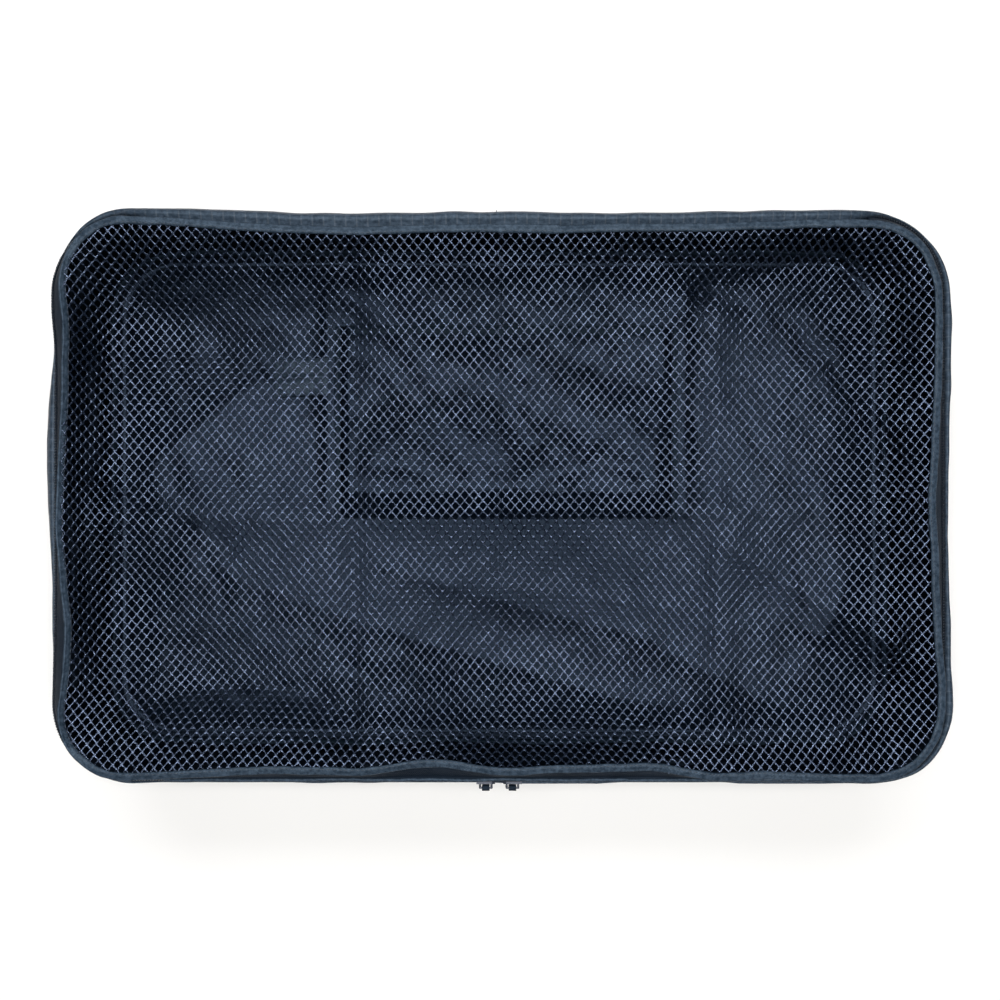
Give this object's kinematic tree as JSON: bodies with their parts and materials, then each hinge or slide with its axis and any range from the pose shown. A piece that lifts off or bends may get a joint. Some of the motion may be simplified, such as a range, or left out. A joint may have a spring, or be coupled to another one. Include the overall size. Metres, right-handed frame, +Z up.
{
  "type": "packing cube",
  "caption": "Soft rectangular packing cube with cloth walls, a see-through net lid that zips open on three sides and folds back, and a stow pouch on its base.",
  "frame": {"origin": "centre of the base, on the surface the cube stands on", "axes": "+X along the long side, +Y towards the back edge where the lid folds, +Z up"},
  "size_m": [0.4, 0.2604, 0.1],
  "materials": {
    "ripstop_cloth": "thin navy ripstop nylon, slightly glossy",
    "binding_cloth": "navy nylon binding, folded and stitched",
    "zip_tape": "navy woven zip tape",
    "zip_coil": "navy moulded coil",
    "net": "navy knitted net with diamond holes",
    "pull_strap": "navy woven strap",
    "slider_metal": "navy painted zinc, semi-gloss"
  },
  "bodies": {
    "base": {"base_panel": "ripstop_cloth", "base_seam_binding": "binding_cloth", "wall_front": "ripstop_cloth", "wall_left": "ripstop_cloth", "wall_right": "ripstop_cloth", "wall_back_left": "ripstop_cloth", "wall_back_right": "ripstop_cloth", "wall_corner_front_left": "ripstop_cloth", "wall_corner_front_right": "ripstop_cloth", "wall_corner_back_left": "ripstop_cloth", "wall_corner_back_right": "ripstop_cloth", "zip_tape_lower": "zip_tape", "zip_coil_lower": "zip_coil", "zip_end_tab_left": "binding_cloth", "zip_end_tab_right": "binding_cloth", "pouch_panel": "ripstop_cloth", "pouch_hem": "ripstop_cloth", "pouch_binding_left": "binding_cloth", "pouch_binding_right": "binding_cloth"},
    "lid": {"mesh_panel": "net", "lid_binding": "binding_cloth", "lid_binding_lap": "binding_cloth", "zip_tape_upper": "zip_tape", "zip_coil_upper": "zip_coil"},
    "slider_left": {"slider_left": "slider_metal"},
    "pull_left": {"pull_left": "pull_strap"},
    "slider_right": {"slider_right": "slider_metal"},
    "pull_right": {"pull_right": "pull_strap"},
    "pouch_tab": {"pouch_tab": "ripstop_cloth"}
  },
  "joints": [
    {"name": "lid_hinge", "type": "hinge", "parent": "base", "child": "lid", "pos_m": [0, 0.1284, 0.096], "axis": [-1, 0, 0], "range_deg": [0, 200]},
    {"name": "slider_left_slide", "type": "slide", "parent": "base", "child": "slider_left", "axis": [-1, 0, 0], "range_m": [0, 0.148]},
    {"name": "slider_right_slide", "type": "slide", "parent": "base", "child": "slider_right", "axis": [1, 0, 0], "range_m": [0, 0.148]},
    {"name": "pull_left_swing", "type": "hinge", "parent": "slider_left", "child": "pull_left", "pos_m": [-0.006, -0.131, 0.089], "axis": [-1, 0, 0], "range_deg": [0, 150]},
    {"name": "pull_right_swing", "type": "hinge", "parent": "slider_right", "child": "pull_right", "pos_m": [0.006, -0.131, 0.089], "axis": [-1, 0, 0], "range_deg": [0, 150]},
    {"name": "pouch_tab_flex", "type": "hinge", "parent": "base", "child": "pouch_tab", "pos_m": [-0.086, 0.0615, 0.0022], "axis": [0, 1, 0], "range_deg": [0, 110]}
  ]
}
